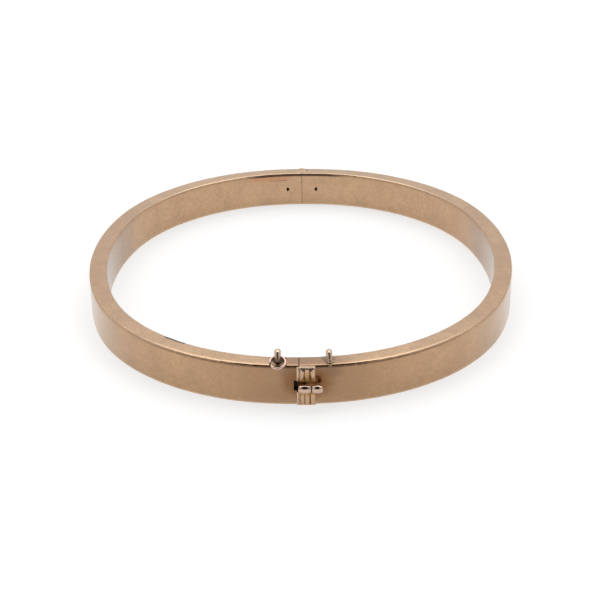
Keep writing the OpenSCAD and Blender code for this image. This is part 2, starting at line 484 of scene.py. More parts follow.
def piece(name, mesh, body, material, replaced=None):
    """A finished object from a mesh in millimetres."""
    lay_in_frame(mesh)
    mesh.shade_smooth()
    mesh.set_sharp_from_angle(angle=math.radians(SHARP_ANGLE))
    mesh.materials.clear()
    mesh.materials.append(material)
    mesh.name = name
    made = bpy.data.objects.new(name, mesh)
    bpy.context.scene.collection.objects.link(made)
    normals = made.modifiers.new("even shading", "WEIGHTED_NORMAL")
    normals.keep_sharp = True
    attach(made, body)
    if replaced:
        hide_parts(replaced)
    return made


def band_solid(side, end_wall):
    """One half of the hollow band, before what only one of the halves has."""
    rings = [band_section(along, inset, side) for along, inset in band_stations()]
    return carved(mesh_of(rings, "band"), [
        ("DIFFERENCE", hollow(end_wall, "hollow")),
        ("DIFFERENCE", relief()),
        ("DIFFERENCE", vent()),
    ])


def left_band(material):
    """Left half with the outer two knuckles, the window and the notch."""
    low, high = knuckle_h, 2 * knuckle_h
    solid = moved(band_solid(-1, LEFT_END_WALL), MIRROR)
    solid = carved(solid, [
        ("DIFFERENCE", knuckle_room(low - SWING_GAP, high + SWING_GAP)),
        ("UNION", knuckle(0, low - SWING_GAP)),
        ("UNION", knuckle(high + SWING_GAP, band_h)),
        ("DIFFERENCE", pin_bore()),
        ("DIFFERENCE", tongue_window(-LEFT_END_WALL - SLIDE_GAP, 0.5)),
        ("DIFFERENCE", post_notch(-NOTCH_X, 0.5)),
    ])
    return piece("band_left", note_places(solid, -1), "left", material, "left_half")


def right_band(material):
    """Right half with the middle knuckle and the seat of the tongue."""
    low, high = knuckle_h, 2 * knuckle_h
    seat_y = -half_l + TONGUE_IN + LEAF_GAP / 2 - FIT_GAP
    half_h = LEAF_W / 2 + FIT_GAP
    seat = block(
        (0, seat_y, mid_z - half_h),
        (RIGHT_END_WALL + SLIDE_GAP, seat_y + LEAF_T + 2 * FIT_GAP, mid_z + half_h),
        "seat",
    )
    solid = carved(band_solid(1, RIGHT_END_WALL), [
        ("DIFFERENCE", knuckle_room(-1, low)),
        ("DIFFERENCE", knuckle_room(high, band_h + 1)),
        ("UNION", knuckle(low, high)),
        ("DIFFERENCE", pin_bore()),
        ("DIFFERENCE", tongue_window(-0.5, POCKET_X)),
        ("DIFFERENCE", post_notch(-0.5, POCKET_X)),
        ("DIFFERENCE", seat),
    ])
    return piece("band_right", note_places(solid, 1), "right", material, "right_half")


# Fittings


def ring_solid(radius, wire, name, around=72, sides=20, swell=0, wander=0):
    """Wire ring about Z; swell is how much thinner it is at -X, wander how uneven it is."""
    rings = []
    for i in range(around):
        round_by = 2 * math.pi * i / around
        out = Vector((math.cos(round_by), math.sin(round_by), 0))
        thick = wire / 2 * (1 - swell * (0.5 - 0.5 * out.x))
        thick *= 1 - wander * wave(out * 3, 1)
        circle = []
        for j in range(sides):
            angle = 2 * math.pi * j / sides
            up = Vector((0, 0, thick * math.sin(angle)))
            circle.append(out * (radius + thick * math.cos(angle)) + up)
        rings.append(circle)
    return mesh_of(rings, name, closed=True)


SOLDER_R = 0.5
SOLDER_BEYOND = 0.08
SOLDER_H = 0.26
SOLDER_TAPER = 0.55
SOLDER_STEPS = 8
BEAD_R = 0.24
BEAD_IN = 0.13
BEAD_DROP = 0.14
LOBE_R = (0.44, 0.26, 0.24)
LOBE_RISE = 0.08


def ball(radius, name):
    """Round drop of solder about the origin."""
    return eased_rod(radius, -radius, radius, radius * 0.99, name, 8)


def solder_foot(length):
    """Concave cone of solder for the foot of an ear, on Z = 0, with half its length along Y."""
    rings = []
    for i in range(SOLDER_STEPS + 1):
        share = i / SOLDER_STEPS
        height = SOLDER_H * (share - 0.25)
        spread = 1 - SOLDER_TAPER * math.sin(share * math.pi / 2)
        circle = [2 * math.pi * j / 32 for j in range(32)]
        rings.append([
            Vector((SOLDER_R * spread * math.cos(a), length * spread * math.sin(a), height))
            for a in circle
        ])
    return mesh_of(rings, "solder")


def ear(side, body, material):
    """Wire ear on the top face, an arch with its axis along the band, in a little solder."""
    x = EAR_X[side]
    y = front_y(x, BAND_T / 2 + EAR_IN[side])
    rise = EAR_RISE[side]
    loop = ring_solid(ear_r, EAR_WIRE, "ear", swell=EAR_SWELL, wander=0.08)
    widened = Matrix.Scale(EAR_SPREAD[side], 4, (0, 0, 1))
    loop = moved(loop, shift(x, y, band_h + rise), turn(EAR_LEAN[side] - 90, "Y"), widened)
    reach = math.sqrt((ear_r + EAR_WIRE / 2) ** 2 - rise**2) + SOLDER_BEYOND
    steps = []
    if side == "right":
        lobe_at = shift(x + 0.1, y - reach + 0.2, band_h + LOBE_RISE)
        lobe = moved(ball(1, "lobe"), lobe_at, Matrix.Diagonal((*LOBE_R, 1)))
        bead_at = shift(x + 0.05, front_y(x, BEAD_IN), band_h - BEAD_DROP)
        steps += [("UNION", lobe), ("UNION", moved(ball(BEAD_R, "bead"), bead_at))]
    foot = moved(solder_foot(reach), shift(x, y, band_h))
    below = block((x - 2, y - 2, 0), (x + 2, y + 2, band_h - WALL / 2), "below")
    steps += [("UNION", foot), ("DIFFERENCE", below)]
    return piece("ear_" + side, carved(loop, steps), body, material)


STRIP_EASE = 0.06
STRIP_CHAMFER = 0.05
RIB_WIDEST = 0.68

# Filed end of the strip: distance in from the ribs' crest, and drop below the end
STRIP_BEVEL = ((0.3, -0.02), (0.12, 0.05), (-0.1, 0.34))


def strip(low, high, name, material):
    """Reeded strip: plate, three round ribs and the lip at its left, its outer end filed down."""
    left = LIP_R - LIP_OVER
    right = RIB_FIRST + 3 * RIB_PITCH + STRIP_MARGIN
    back = -half_l + WALL / 2
    face = -half_l - STRIP_PLATE
    over = -half_l - SWING_GAP
    step_x = SEAM_GAP / 2
    plan = [
        (left, over), (step_x, over), (step_x, back), (right, back),
        (right, face + STRIP_CHAMFER), (right - STRIP_CHAMFER, face), (left, face),
    ]
    solid = prism(plan, low, high, "strip")
    steps = []
    for i, width in enumerate(RIB_W):
        rod = eased_rod(width / 2, low, high, STRIP_EASE, "rib", 3)
        x = RIB_FIRST + width / 2 + i * RIB_PITCH
        cutter = block((x - 1, -half_l + WALL / 2, low - 1), (x + 1, -half_l + 2, high + 1), "cut")
        widened = Matrix.Scale(min(RIB_WIDEN, RIB_WIDEST / width), 4, (1, 0, 0))
        rod = moved(rod, shift(x, -half_l - RIB_OUT + width / 2, 0), widened)
        steps.append(("UNION", carved(rod, [("DIFFERENCE", cutter)])))
    lip = moved(eased_rod(LIP_R, low, high, STRIP_CHAMFER, "lip", 4), shift(left, face, 0))
    clear = block((-1, over, low - 1), (step_x, -half_l + 1, high + 1), "clear")
    steps.append(("UNION", carved(lip, [("DIFFERENCE", clear)])))
    upward = 1 if high > mid_z else -1
    end = high if high > mid_z else low
    slope = [(inward, -drop) for inward, drop in STRIP_BEVEL] + [(-0.1, 0.1), (0.3, 0.1)]
    wedge = mesh_of([
        [Vector((x, -half_l - RIB_OUT + inward, end + upward * rise)) for inward, rise in slope]
        for x in (left + LIP_R, right + 1)
    ], "file")
    steps.append(("DIFFERENCE", wedge))
    return piece(name, carved(solid, steps), "right", material)


LEAF_EDGE = 0.05
LEAF_STEPS = 24
FOLD_STEPS = 20


def leaf_ring(middle, out):
    """Cross-section of the spring leaf with eased corners, round a point in plan."""
    ring = []
    across, upward = LEAF_T / 2 - LEAF_EDGE, LEAF_W / 2 - LEAF_EDGE
    for side_u, side_z, start in ((1, 1, 0), (-1, 1, 90), (-1, -1, 180), (1, -1, 270)):
        for step in range(4):
            angle = math.radians(start + 30 * step)
            u = side_u * across + LEAF_EDGE * math.cos(angle)
            z = side_z * upward + LEAF_EDGE * math.sin(angle)
            ring.append(Vector((middle.x + out.x * u, middle.y + out.y * u, mid_z + z)))
    return ring


def leaf(radius, first_x, last_x):
    """Rings of a spring leaf about the hinge axis, between two distances along the tongue."""
    rings = []
    first, last = first_x / tongue_r, last_x / tongue_r
    for i in range(LEAF_STEPS + 1):
        heading = math.degrees(first + (last - first) * i / LEAF_STEPS)
        out = toward(heading)
        rings.append(leaf_ring(Vector((0, hinge_y)) + out * radius, out))
    return rings


def tongue(material):
    """Fixed leaf of the folded strip, with its fold at the tip."""
    fold_heading = -math.degrees(math.asin(TONGUE_LEN / tongue_r))
    fixed_r = tongue_r - leaf_stack / 2 + LEAF_T / 2
    rings = leaf(fixed_r, ROOT_X, -TONGUE_LEN)
    pivot = Vector((0, hinge_y)) + toward(fold_heading) * tongue_r
    fold_r = (LEAF_GAP + LEAF_T) / 2
    for i in range(1, FOLD_STEPS + 1):
        out = toward(fold_heading - 180 + 180 * i / FOLD_STEPS)
        rings.append(leaf_ring(pivot + out * fold_r, out))
    solid = mesh_of(rings, "tongue")
    return piece("tongue_leaf", solid, "right", material, "tongue_spring")


def thumb_piece(spring_material, bar_material):
    """Moving leaf with the post, and the two-barrelled bar that the thumb presses."""
    moving_r = tongue_r + leaf_stack / 2 - LEAF_T / 2
    rings = leaf(moving_r, FIT_GAP - TONGUE_LEN, POST_X[1])
    thumb_y = -half_l - THUMB_STAND
    post = block(
        (POST_X[0], thumb_y, mid_z - POST_H / 2),
        (POST_X[1], -half_l + TONGUE_IN - leaf_stack / 2 + LEAF_T / 2, mid_z + POST_H / 2),
        "post",
    )
    collar = block(
        (POST_X[0], -half_l - COLLAR_OUT, mid_z - COLLAR_H / 2),
        (POST_X[1], -half_l + COLLAR_IN, mid_z + COLLAR_H / 2),
        "collar",
    )
    solid = carved(mesh_of(rings, "leaf"), [("UNION", post), ("UNION", collar)])
    piece("thumb_leaf", solid, "thumb", spring_material, "thumb_piece")
    x = THUMB_X
    for letter, length in zip("ab", THUMB_LENGTHS):
        rod = eased_rod(THUMB_D / 2, 0, length, BARREL_EASE, "barrel", 8, BARREL_BULGE, 64)
        rod = moved(rod, shift(x, thumb_y, mid_z + THUMB_RISE), turn(90, "Y"))
        piece("thumb_barrel_" + letter, rod, "thumb", bar_material)
        x += length


def jump_ring(material):
    """Ring through the left ear, lying forward over the edge of the band."""
    radius = (RING_D - RING_WIRE) / 2
    solid = ring_solid(radius, RING_WIRE, "ring", around=96, sides=16, wander=0.06)
    y = front_y(EAR_X["left"], BAND_T / 2)
    pivot = shift(EAR_X["left"], y, band_h + RING_RISE)
    solid = moved(solid, pivot, turn(RING_DIP, "X"), shift(0, -radius, 0))
    return piece("chain_ring", solid, "left", material, "jump_ring")


# Shader maths


class Value:
    """A shader socket that expressions can use: each operator adds its Math node."""

    def __init__(self, paint, socket):
        self.paint = paint
        self.socket = socket

    def math(self, operation, *others):
        values = dict(enumerate((self, *others)))
        return self.paint.node("Math", {"operation": operation}, values)

    def __add__(self, other):
        return self.math("ADD", other)

    def __sub__(self, other):
        return self.math("SUBTRACT", other)

    def __rsub__(self, other):
        return self.paint.node("Math", {"operation": "SUBTRACT"}, {0: other, 1: self})

    def __mul__(self, other):
        return self.math("MULTIPLY", other)

    def __truediv__(self, other):
        return self.math("DIVIDE", other)

    def __pow__(self, other):
        return self.math("POWER", other)

    __radd__ = __add__
    __rmul__ = __mul__

    def least(self, other):
        return self.math("MINIMUM", other)

    def most(self, other):
        return self.math("MAXIMUM", other)

    def size(self):
        return self.math("ABSOLUTE")

    def rise(self, low, high):
        """0 below low, 1 above high and a smooth step between; falls if low is above high."""
        settings = {"interpolation_type": "SMOOTHSTEP"}
        inputs = {"Value": self, "From Min": low, "From Max": high}
        return self.paint.node("MapRange", settings, inputs)

    def near(self, place, far, close):
        """1 within the close distance of a place, 0 past the far one."""
        return (self - place).size().rise(far, close)


class Paint:
    """Builds one node tree."""

    def __init__(self, tree):
        self.tree = tree
        tree.nodes.clear()

    def node(self, kind, settings=None, inputs=None, output=0):
        """Adds a node: its settings first, then values or links of its sockets. Gives an output."""
        made = self.tree.nodes.new("ShaderNode" + kind)
        for name, value in (settings or {}).items():
            setattr(made, name, value)
        for name, value in (inputs or {}).items():
            if isinstance(value, Value):
                self.tree.links.new(value.socket, made.inputs[name])
            elif isinstance(value, tuple) and len(value) == 3 and made.inputs[name].type == "RGBA":
                made.inputs[name].default_value = (*value, 1)
            else:
                made.inputs[name].default_value = value
        return Value(self, made.outputs[output]) if made.outputs else None

    def mix(self, amount, first, second, blend="MIX"):
        """Colour mix, by a number from 0 to 1 or a mask."""
        settings = {"data_type": "RGBA", "blend_type": blend}
        return self.node("Mix", settings, {0: amount, 6: first, 7: second}, output=2)

    def darkened(self, colour, tone):
        """A colour multiplied by a brightness."""
        grey = self.node("CombineXYZ", {}, {0: tone, 1: tone, 2: tone})
        return self.mix(1.0, colour, grey, "MULTIPLY")

    def scaled(self, vector, factors):
        """A vector with each of its parts multiplied."""
        return self.node("VectorMath", {"operation": "MULTIPLY"}, {0: vector, 1: factors})

    def dot(self, vector, direction):
        """How far a vector reaches along a direction."""
        inputs = {0: vector, 1: direction}
        return self.node("VectorMath", {"operation": "DOT_PRODUCT"}, inputs, output="Value")

    def parts(self, vector):
        """The three parts of a vector."""
        return [self.node("SeparateXYZ", {}, {0: vector}, output=axis) for axis in "XYZ"]

    def grain(self, vector, scale, detail=3, roughness=0.5):
        """Noise from 0 to 1 over a vector; scale is bumps per unit."""
        inputs = {"Vector": vector, "Scale": scale, "Detail": detail, "Roughness": roughness}
        return self.node("TexNoise", {}, inputs, output="Fac")

    def hairline(self, along, across, slope):
        """Mask of sparse long hairline scratches that lean by a slope."""
        sideways = (across + along * slope) * 4
        leaning = self.node("CombineXYZ", {}, {0: along * 0.12, 1: sideways, 2: slope * 9})
        return self.grain(leaning, 1, 1, 0.4).rise(0.69, 0.73)


# Materials


# Golds. OUTER_GOLD, INNER_GOLD and TOP_GOLD are one gold in a colour for each face, the top's
# lightest: painted light and shade
OUTER_GOLD = (0.47, 0.29, 0.16)
TOP_GOLD = (0.625, 0.41, 0.25)
INNER_GOLD = (0.51, 0.32, 0.185)
INSIDE_WALL_GOLD = (0.16, 0.1, 0.06)
# Rubbed gold of the reeding's lip and filed ends, also their painted highlight
RUBBED_HIGHLIGHT = (0.66, 0.48, 0.34)
# Lighter gold of the rubbed edges, which also paints their highlight
RUBBED_EDGE_HIGHLIGHT = (0.8, 0.64, 0.48)
EAR_GOLD = (0.68, 0.5, 0.38)
RIB_GOLD = (0.56, 0.38, 0.25)
SPRING_GOLD = (0.66, 0.48, 0.33)
THUMB_GOLD = (0.6, 0.43, 0.33)
RING_GOLD = (0.7, 0.5, 0.41)
PIN_GOLD = (0.7, 0.52, 0.38)

# Patina, stains and dirt, and colours for painted shade, shadow, highlight and reflection
PATINA = (0.22, 0.105, 0.045)
GREY_PATINA = (0.2, 0.115, 0.065)
DULL_TOP = (0.48, 0.26, 0.13)
# Brown of the stain round the thumb bar, also its painted shadow and reflection
STAIN_AND_SHADOW = (0.2, 0.085, 0.025)
SOLDER_RED = (0.5, 0.2, 0.085)
# Yellow of tarnish on the reeding, also a painted highlight and reflection
TARNISH_AND_REFLECTION = (0.45, 0.24, 0.04)
RUST = (0.3, 0.12, 0.035)
# Orange of rust above the thumb bar, also the bar's painted shadow and reflection
ORANGE_RUST_AND_SHADOW = (0.42, 0.18, 0.05)
# Brown of the ears' legs: a painted reflection of the top face
EAR_REFLECTED_BROWN = (0.16, 0.09, 0.035)
SEAM_BROWN = (0.11, 0.06, 0.035)
# Brown of grime, also painted shade at the reeding's ends beside the bar
GRIME_AND_SHADE = (0.09, 0.045, 0.02)
# Near black of soot, also painted shadow and dark reflection on the band, the ears and the reeding
SOOT_AND_SHADE_BLACK = (0.022, 0.013, 0.007)
# Near black for painted shade in the clasp's openings and on the leaf seen through them
SHADE_BLACK = (0.008, 0.006, 0.004)

# Where the wear and the painted shade lie, in millimetres along the band from the clasp, the left
# side negative
CLASP_REACH = 16
STAIN_AND_SHADOW_AT = (1.0, 0.4)
STAIN_AND_SHADOW_SIZE = (2.8, 2.0)
DARK_EDGE_AT = 6
DARK_INNER_EDGE_AT = -17.3
BOX_DEPTH = 1.6

# Soot and painted shadow round each ear: side, how far it reaches and how dark it is
EAR_SOOT_AND_SHADOW = (("left", 1.15, 0.95), ("right", 1.05, 0.35))
EAR_SOOT_AND_SHADOW_IN = 1.6

# How scratches and streaks are drawn out along, through and up the band
SCRATCH_STRETCH = (0.14, 1, 1)
STREAK_STRETCH = (4, 0, 0.6)


def new_material(name):
    """An empty material and its painter."""
    material = bpy.data.materials.new(name)
    material.use_nodes = True
    return material, Paint(material.node_tree)


def gold_shader(paint, colour, roughness, bump, coat=0.0, metallic=1.0):
    """Metal output from a colour, a roughness and a height in millimetres."""
    bumped = {"Strength": 1.0, "Distance": MM, "Height": bump}
    normal = paint.node("Bump", {}, bumped, output="Normal")
    shader = paint.node("BsdfPrincipled", {}, {
        "Base Color": colour, "Metallic": metallic, "Roughness": roughness, "Normal": normal,
        "Coat Weight": coat, "Coat Roughness": 0.2,
    })
    paint.node("OutputMaterial", {}, {"Surface": shader})


# Gold of the band


class OnBand:
    """Where a shaded point lies on the band, in millimetres, and how far it is on each face."""

    def __init__(self, paint):
        self.place = paint.node("Attribute", {"attribute_name": "place"}, output="Vector")
        self.along, self.depth, self.height = paint.parts(self.place)
        self.below_top = band_h - self.height
        self.from_inside = BAND_T - self.depth
        self.from_hinge = HALF_LENGTH - self.along.size()
        self.right = self.along.rise(0, 0.1)
        self.to_wall = self.depth.least(self.from_inside)
        self.to_rim = self.height.least(self.below_top)
        self.edge = (self.to_wall + self.to_rim).rise(0.3, 0.2)
        self.top = self.below_top.rise(0.2, 0.04)
        self.inner = self.from_inside.rise(0.5, 0.2) * (1 - self.top)
        self.outer = (1 - self.inner) * (1 - self.top)


def band_tone(paint, on, mottling):
    """Brightness of the gold: mottled, with hairline scratches and duller or brighter places."""
    across = on.height + on.depth
    hairs = paint.hairline(on.along, across, 0.25).most(paint.hairline(on.along, across, -0.6))
    beside_hinge = on.along.size().rise(63, 56) * on.inner
    front_top = on.along.size().near(9, 9, 3) * on.top
    right_side = on.along.rise(34, 41) * on.outer
    tone = mottling + 0.98 - hairs * 0.05 + front_top * 0.08
    return tone * (1 - beside_hinge * 0.24 - right_side * 0.14)


def clasp_patina(on, cloud):
    """Brown patina of the top and the outer face round the clasp, fainter at the band's foot."""
    patina = on.along.near(1, CLASP_REACH, 2) * (cloud * 0.4 + 0.8) * (1 - on.inner)
    return patina * on.height.rise(-0.8, 1.8)


def top_patina(on, cloud):
    """Second coat of it on the top face, between the ears."""
    return on.along.near(1.5, 6, 2.5) * on.top * (cloud * 0.4 + 0.8)


def grey_below_top(on, cloud):
    """Grey stain on the upper part of the outer face, on both sides of the clasp."""
    stain = on.below_top.rise(2.1, 1) * on.along.near(1.4, 4.4, 2.6) * on.outer
    return stain * (cloud * 0.4 + 0.52)


def solder_patch(on):
    """Reddish solder on the inner face, left of the hinge."""
    patch = on.below_top.rise(1.08, 0.92) * on.below_top.rise(0.3, 0.36) * on.inner
    return patch * on.from_hinge.rise(9.8, 7.5) * on.from_hinge.rise(1.5, 3) * (1 - on.right)


def solder_rim(on):
    """Thin brown line along the lower side of that patch."""
    line = on.below_top.near(1.1, 0.08, 0.03) * on.from_hinge.rise(6, 5)
    return line * on.from_hinge.rise(1.5, 3) * on.inner * (1 - on.right)


def ear_soot_and_shadow(on):
    """Soot on the top face round the feet of the ears, with painted shadow of the ears and the jump
    ring.
    """
    spots = []
    for side, reach, amount in EAR_SOOT_AND_SHADOW:
        across = on.along - EAR_X[side]
        inward = on.depth - EAR_SOOT_AND_SHADOW_IN
        from_ear = (across * across + inward * inward) ** 0.5
        spots.append(from_ear.rise(reach, reach - 0.4) * on.depth.rise(0.5, 0.8) * on.top * amount)
    return spots[0].most(spots[1])


def outer_edge_reflection_and_soot(on, specks):
    """Thin dark line below the outer top edge: a painted dark reflection, with soot to the right of
    the clasp where it is darkest.
    """
    line = on.below_top.rise(0.36, 0.3) * on.below_top.rise(0.14, 0.2) * (1 - on.inner)
    dark = on.along.near(DARK_EDGE_AT, 2.6, 1.6) * specks.rise(0.4, 0.5) * 0.9
    faint = on.along.size().rise(26, 12) * specks.rise(0.25, 0.6) * 0.6
    return line * on.depth.rise(0.3, 0.2) * dark.most(faint)


def inner_edge_dark_stretch(on, specks):
    """Dark stretch of the inner top edge, well to the left of the clasp."""
    line = on.from_inside.rise(0.48, 0.38) * on.below_top.rise(0.3, 0.2)
    return line * on.along.near(DARK_INNER_EDGE_AT, 2.1, 1.4) * (specks * 0.6 + 0.6).least(1)


def hinge_dark_line(on):
    """Dark line below the inner top edge on both sides of the hinge, shorter on the right."""
    line = on.below_top.rise(0.48, 0.34) * on.below_top.rise(0.04, 0.1)
    line *= on.from_inside.rise(0.5, 0.3)
    return line * (on.from_hinge + on.right * 2.2).rise(10, 6.5) * 0.95


def bar_stain_and_shadow(paint, on, cloud):
    """Brown stain with upright streaks on the outer face round the thumb bar, with the bar's painted
    shadow and reflection.
    """
    across = (on.along - STAIN_AND_SHADOW_AT[0]) / STAIN_AND_SHADOW_SIZE[0]
    upward = (on.height - mid_z - STAIN_AND_SHADOW_AT[1]) / STAIN_AND_SHADOW_SIZE[1]
    from_bar = (across * across + upward * upward) ** 0.5 + (cloud - 0.5) * 0.4
    streaks = paint.grain(paint.scaled(on.place, STREAK_STRETCH), 1, 2, 0.6)
    return from_bar.rise(1.35, 0.65) * (streaks * 0.6 + 0.64) * on.outer


def bar_rust_and_shadow(on):
    """Orange rust on the outer face just above the thumb bar, with the bar's painted shadow and
    reflection there.
    """
    above = (on.height - mid_z).near(STRIP_GAP / 2 - 0.1, 0.34, 0.18)
    return above * on.along.near(0.95, 1.4, 1) * on.outer


def satin_gold():
    """Satin rose gold of the band: face by face, the faces' colours set apart as painted light and
    shade, with mottling, fine scratches, wear and patina, and painted highlights, shadows and
    reflections.
    """
    material, paint = new_material("satin rose gold")
    on = OnBand(paint)
    blotches = paint.grain(on.place, 0.35, 4, 0.6)
    cloud = paint.grain(on.place, 1.6, 3, 0.6)
    specks = paint.grain(on.place, 4.5, 2, 0.6)
    scratches = paint.grain(paint.scaled(on.place, SCRATCH_STRETCH), 9, 4, 0.7)
    mottling = (blotches - 0.5) * 0.36 + (cloud - 0.5) * 0.38 + (specks - 0.5) * 0.3
    mottling += (scratches - 0.5) * 0.2

    patina = clasp_patina(on, cloud)
    dull_top = on.along.size().near(HALF_LENGTH / 2, 30, 8) * on.top
    # Soot with painted shadow round the ears, a painted dark reflection below the outer top edge, and
    # dark lines at the inner top edge
    soot_and_shade = ear_soot_and_shadow(on).most(outer_edge_reflection_and_soot(on, specks))
    soot_and_shade = soot_and_shade.most(inner_edge_dark_stretch(on, specks)).most(hinge_dark_line(on))
    # Patina and a painted dark reflection in the band just below the top edges
    below_edge_patina_and_reflection = on.below_top.rise(0.6, 0.12) * on.below_top.rise(0.02, 0.08)
    rust_and_shadow = bar_rust_and_shadow(on)
    # Darker, rougher gold on the faces inside the walls: the hollow, the bores and the cut faces
    inside_wall = on.to_wall.least(on.to_rim).rise(0.1, 0.2)
    # Painted shade: near black on the faces inside the walls next to the clasp, in the window and the
    # notch
    boxed_shade = on.along.size().rise(BOX_DEPTH, BOX_DEPTH - 0.3) * inside_wall
    seam = on.along.size().rise(0.09, 0.04).most(on.from_hinge.rise(0.06, 0.02) * 0.6) * (1 - inside_wall)

    # One gold in a colour per face, lighter on top: painted light and shade
    colour = paint.mix(on.inner, OUTER_GOLD, INNER_GOLD)
    colour = paint.mix(on.top, colour, TOP_GOLD)
    colour = paint.darkened(colour, band_tone(paint, on, mottling))
    layers = (
        # Rubbed edges lightened, also a painted highlight along them
        (on.edge * specks * 0.8, RUBBED_EDGE_HIGHLIGHT),
        (dull_top * 0.3, DULL_TOP),
        (patina * (0.5 - on.top * 0.5), PATINA),
        (top_patina(on, cloud) * 0.5, PATINA),
        (grey_below_top(on, cloud), GREY_PATINA),
        (solder_patch(on) * 0.5, SOLDER_RED),
        (solder_rim(on) * 0.6, GRIME_AND_SHADE),
        (soot_and_shade, SOOT_AND_SHADE_BLACK),
        (below_edge_patina_and_reflection * (patina * 0.25 + cloud * 0.6), PATINA),
        (bar_stain_and_shadow(paint, on, cloud), STAIN_AND_SHADOW),
        (rust_and_shadow * 0.8, ORANGE_RUST_AND_SHADOW),
        (inside_wall, INSIDE_WALL_GOLD),
        (boxed_shade, SHADE_BLACK),
        (seam, SEAM_BROWN),
    )
    for amount, layer in layers:
        colour = paint.mix(amount, colour, layer)

    # Matte and not metal where the seam, the soot and the painted shade lie
    dirt_and_shade = seam.most(boxed_shade).most(soot_and_shade).most(rust_and_shadow * 0.6)
    satin = (blotches - 0.5) * 0.12 + (scratches - 0.5) * 0.1 + (specks - 0.5) * 0.1
    roughness = 0.25 + satin - on.edge * 0.17 + inside_wall * 0.3 + dirt_and_shade * 0.5
    bump = (cloud - 0.5) * 0.01 + (scratches - 0.5) * 0.005 * (1 - inside_wall)
    bump += paint.grain(on.place, 14, 2) * 0.0015
    coat = (1 - inside_wall.most(dirt_and_shade)) * (1 - on.edge) * 0.5
    gold_shader(paint, colour, roughness, bump, coat, 1 - dirt_and_shade)
    return material


# Gold of the fittings

Spot = namedtuple("Spot", "x y z")


def wire_gold(name, colour, roughness, stain, *soils_and_shades):
    """Bright stained gold, with soils and painted shades: each a function for where, a colour and how
    matte it is.
    """
    material, paint = new_material(name)
    place = paint.node("TexCoord", {}, output="Object")
    in_millimetres = paint.scaled(place, (1 / MM, 1 / MM, 1 / MM))
    cloud = paint.grain(in_millimetres, 2.2, 3, 0.6)
    fine = paint.grain(in_millimetres, 12, 3, 0.6)
    shade = paint.mix((cloud - 0.3) * stain, colour, PATINA)
    x, y, z = paint.parts(in_millimetres)
    at = Spot(x, y - centre_y, z)
    matte = x * 0
    for where, overlay, dullness in soils_and_shades:
        amount = (where(at) * (0.7 + cloud * 0.6)).least(1)
        shade = paint.mix(amount, shade, overlay)
        matte = matte.most(amount * dullness)
    satin = roughness + (cloud - 0.5) * 0.1 + matte * 0.4
    gold_shader(paint, shade, satin, (fine - 0.5) * 0.003, metallic=1 - matte)
    return material


def of_nearer_ear(at, values):
    """A number that differs between the ears, for the one that a point lies on."""
    return at.x.rise(-1, 1) * (values["right"] - values["left"]) + values["left"]


def ear_leg_reflection(at):
    """Where the ears are brown down their legs: a painted reflection of the top face below them."""
    middle = of_nearer_ear(at, EAR_RISE) + band_h
    front = (at.y + half_l).rise(0.6, 0.3)
    amount = at.x.rise(1, -1) * 0.5 + 0.3 + front * at.x.rise(-1, 1) * 0.5
    return (at.z - middle).rise(0.5, 0) * amount


def ear_grime_and_reflection(at):
    """Where the ears are dark: grime at the left one's foot, and a painted dark reflection on the
    front of each arch above its middle.
    """
    above_middle = at.z - of_nearer_ear(at, EAR_RISE) - band_h
    across = at.x - of_nearer_ear(at, EAR_X)
    spot = across.size().rise(0.17, 0.08) * above_middle.near(0.33, 0.34, 0.16)
    foot = at.z.rise(band_h + 0.2, band_h + 0.03) * (at.y + half_l).rise(0.3, 0.5)
    return (foot * at.x.rise(1, -1)).most(spot * (at.y + half_l).rise(1.3, 1) * 0.9)


def rib_tarnish_and_reflection(at):
    """Where the reeding is yellow: tarnish and a painted highlight in its grooves, a painted
    reflection on the second rib, and tarnish beside the bar.
    """
    groove = (at.y + half_l).rise(-RIB_OUT * 0.8, -STRIP_PLATE) * at.x.rise(0.02, 0.06)
    second = at.x.near(RIB_FIRST + RIB_PITCH + 0.38, 0.34, 0.12)
    second *= at.z.rise(mid_z + 2.6, mid_z + 1.2) * at.z.rise(mid_z - 1.5, mid_z - 1)
    beside_bar = (at.z - mid_z).size().rise(STRIP_GAP / 2 + 0.6, STRIP_GAP / 2)
    return groove.most(second * 0.75).most(beside_bar * at.x.rise(0.02, 0.06) * 0.85)


def rib_grime_and_shade(at):
    """Where the reeding is brown: grime in its first groove, and painted shade at its ends beside the
    bar.
    """
    first_groove = at.x.rise(0.3, 0.1) * at.x.rise(0, 0.08)
    beside_bar = (at.z - mid_z).size().rise(STRIP_GAP / 2 + 0.16, STRIP_GAP / 2)
    return (first_groove * 0.45).most(beside_bar * 0.5)


def rib_groove_shadow(at):
    """Where the reeding is black: painted shadow at the top of its grooves, under the filed end."""
    first = at.x.near(-0.03, 0.14, 0.06)
    others = at.x.near(0.55, 0.22, 0.1).most(at.x.near(1.35, 0.24, 0.12))
    below_end = band_h - STRIP_END - at.z
    return first.most(others) * below_end.rise(0.52, 0.38) * below_end.rise(0.1, 0.18)


def rib_wear_and_highlight(at):
    """Where the reeding is rubbed bright, with a painted highlight: at its lip and on its filed ends.
    """
    from_end = mid_z - STRIP_END - (at.z - mid_z).size()
    return at.x.rise(0.02, -0.04).most(from_end.rise(0.16, 0.11)) * 0.8


def leaf_painted_shade(at):
    """Where the leaf is painted black as shade: the part that shows through the notch."""
    return at.x.rise(-1.3, -0.9) * at.x.rise(POST_X[0] + 0.05, POST_X[0] - 0.05) * 1.6


def post_stain(at):
    """Where the thumb bar's post is stained: all of it outside the band."""
    return at.x.rise(POST_X[0] - 0.05, POST_X[0] + 0.05) * (at.y + half_l).rise(0.6, 0.2)


def ring_joint(at):
    """Where the jump ring's ends meet."""
    return at.x.near(EAR_X["left"] - 0.86, 0.12, 0.05) * (at.y + half_l).rise(0.4, 0.2)


